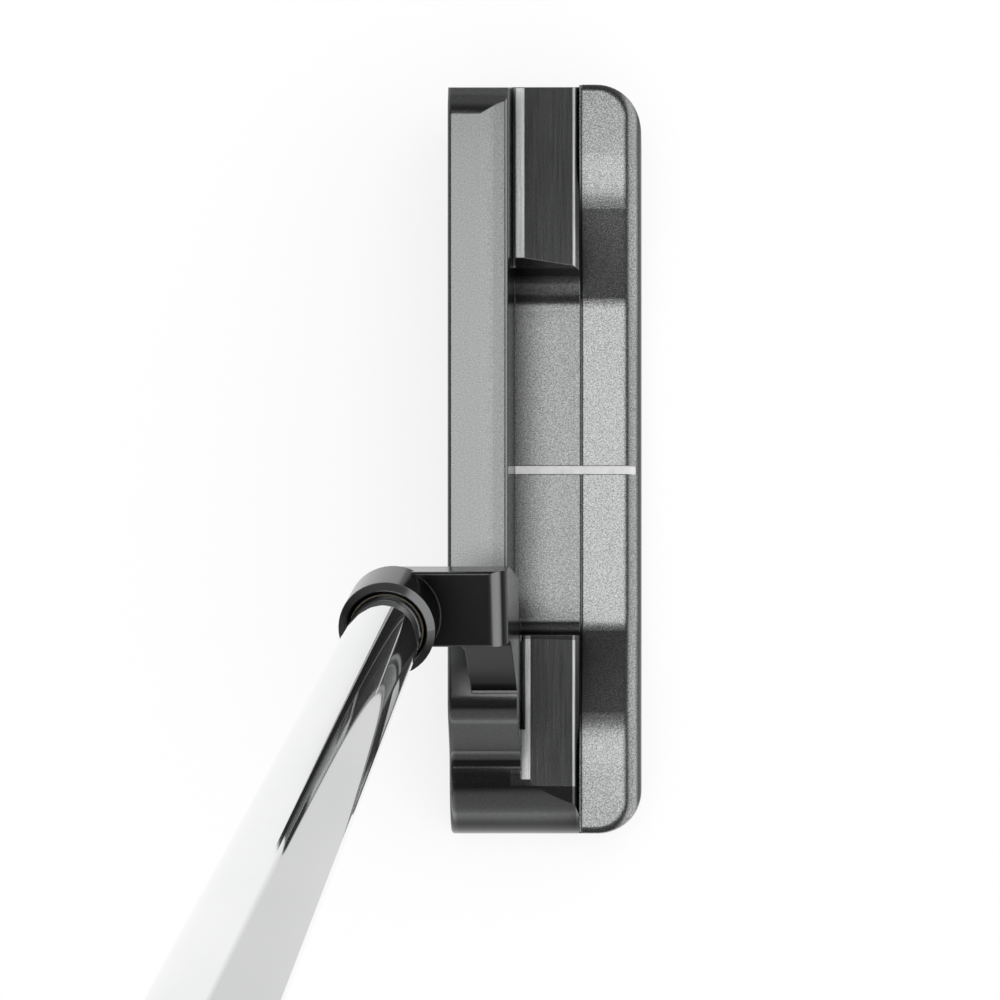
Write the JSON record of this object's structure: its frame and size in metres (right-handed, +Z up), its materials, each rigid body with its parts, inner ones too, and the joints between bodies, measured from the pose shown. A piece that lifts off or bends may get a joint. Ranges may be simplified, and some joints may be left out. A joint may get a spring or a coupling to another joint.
{
  "type": "blade putter",
  "caption": "Heel-toe weighted blade putter with a plumber's neck, chrome shaft, pistol grip and screw-in sole weights, standing at address.",
  "frame": {"origin": "on the ground at the middle of the flat sole, under the sight line", "axes": "+X from the striking face to the back of the head, +Y from heel to toe, +Z up; the shaft leans towards -Y at a lie of 70 degrees"},
  "size_m": [0.0475, 0.3805, 0.8165],
  "materials": {
    "head_body": "dark gunmetal finish, fine blasted grain, milled by machine",
    "face_insert": "milled aluminium with fine cross grooves",
    "insert_bond": "cured adhesive film",
    "sight_line": "pale enamel fill",
    "toe_weight": "turned stainless steel",
    "toe_weight_washer": "natural nylon",
    "heel_weight": "turned stainless steel",
    "heel_weight_washer": "natural nylon",
    "shaft": "bright chrome plating",
    "hosel_bond": "cured epoxy",
    "shaft_tip_plug": "moulded plug",
    "grip_tape": "crepe paper tape",
    "grip_sleeve": "moulded rubber",
    "grip_skin": "matte textured polyurethane",
    "grip_cap": "moulded nylon",
    "butt_plug": "dark anodised aluminium",
    "butt_plug_seal": "nitrile rubber"
  },
  "bodies": {
    "putter": {"head_body": "head_body", "face_insert": "face_insert", "insert_bond": "insert_bond", "sight_line": "sight_line", "shaft": "shaft", "hosel_bond": "hosel_bond", "shaft_tip_plug": "shaft_tip_plug", "grip_tape": "grip_tape", "grip_sleeve": "grip_sleeve", "grip_skin": "grip_skin", "grip_cap": "grip_cap"},
    "toe_washer": {"toe_weight_washer": "toe_weight_washer"},
    "toe_weight": {"toe_weight": "toe_weight"},
    "heel_washer": {"heel_weight_washer": "heel_weight_washer"},
    "heel_weight": {"heel_weight": "heel_weight"},
    "plug_seal": {"butt_plug_seal": "butt_plug_seal"},
    "plug": {"butt_plug": "butt_plug"}
  },
  "joints": [
    {"name": "toe_washer_slide", "type": "slide", "parent": "putter", "child": "toe_washer", "axis": [0, 0, -1], "range_m": [0, 0.0075]},
    {"name": "toe_weight_turn", "type": "hinge", "parent": "toe_washer", "child": "toe_weight", "pos_m": [0.0037, 0.041, 0.0042], "axis": [0, 0, -1], "range_deg": [0, 2165]},
    {"name": "heel_washer_slide", "type": "slide", "parent": "putter", "child": "heel_washer", "axis": [0, 0, -1], "range_m": [0, 0.0075]},
    {"name": "heel_weight_turn", "type": "hinge", "parent": "heel_washer", "child": "heel_weight", "pos_m": [0.0037, -0.041, 0.0042], "axis": [0, 0, -1], "range_deg": [0, 2165]},
    {"name": "plug_seal_slide", "type": "slide", "parent": "putter", "child": "plug_seal", "axis": [0, -0.342, 0.9397], "range_m": [0, 0.0125]},
    {"name": "plug_turn", "type": "hinge", "parent": "plug_seal", "child": "plug", "pos_m": [-0.01605, -0.30501, 0.81189], "axis": [0, -0.342, 0.9397], "range_deg": [0, 3605]}
  ],
  "couplings": [
    {"joint": "toe_weight_turn", "follows": "toe_washer_slide", "rad_per_m": 5026.5},
    {"joint": "heel_weight_turn", "follows": "heel_washer_slide", "rad_per_m": 5026.5},
    {"joint": "plug_turn", "follows": "plug_seal_slide", "rad_per_m": 5026.5}
  ]
}
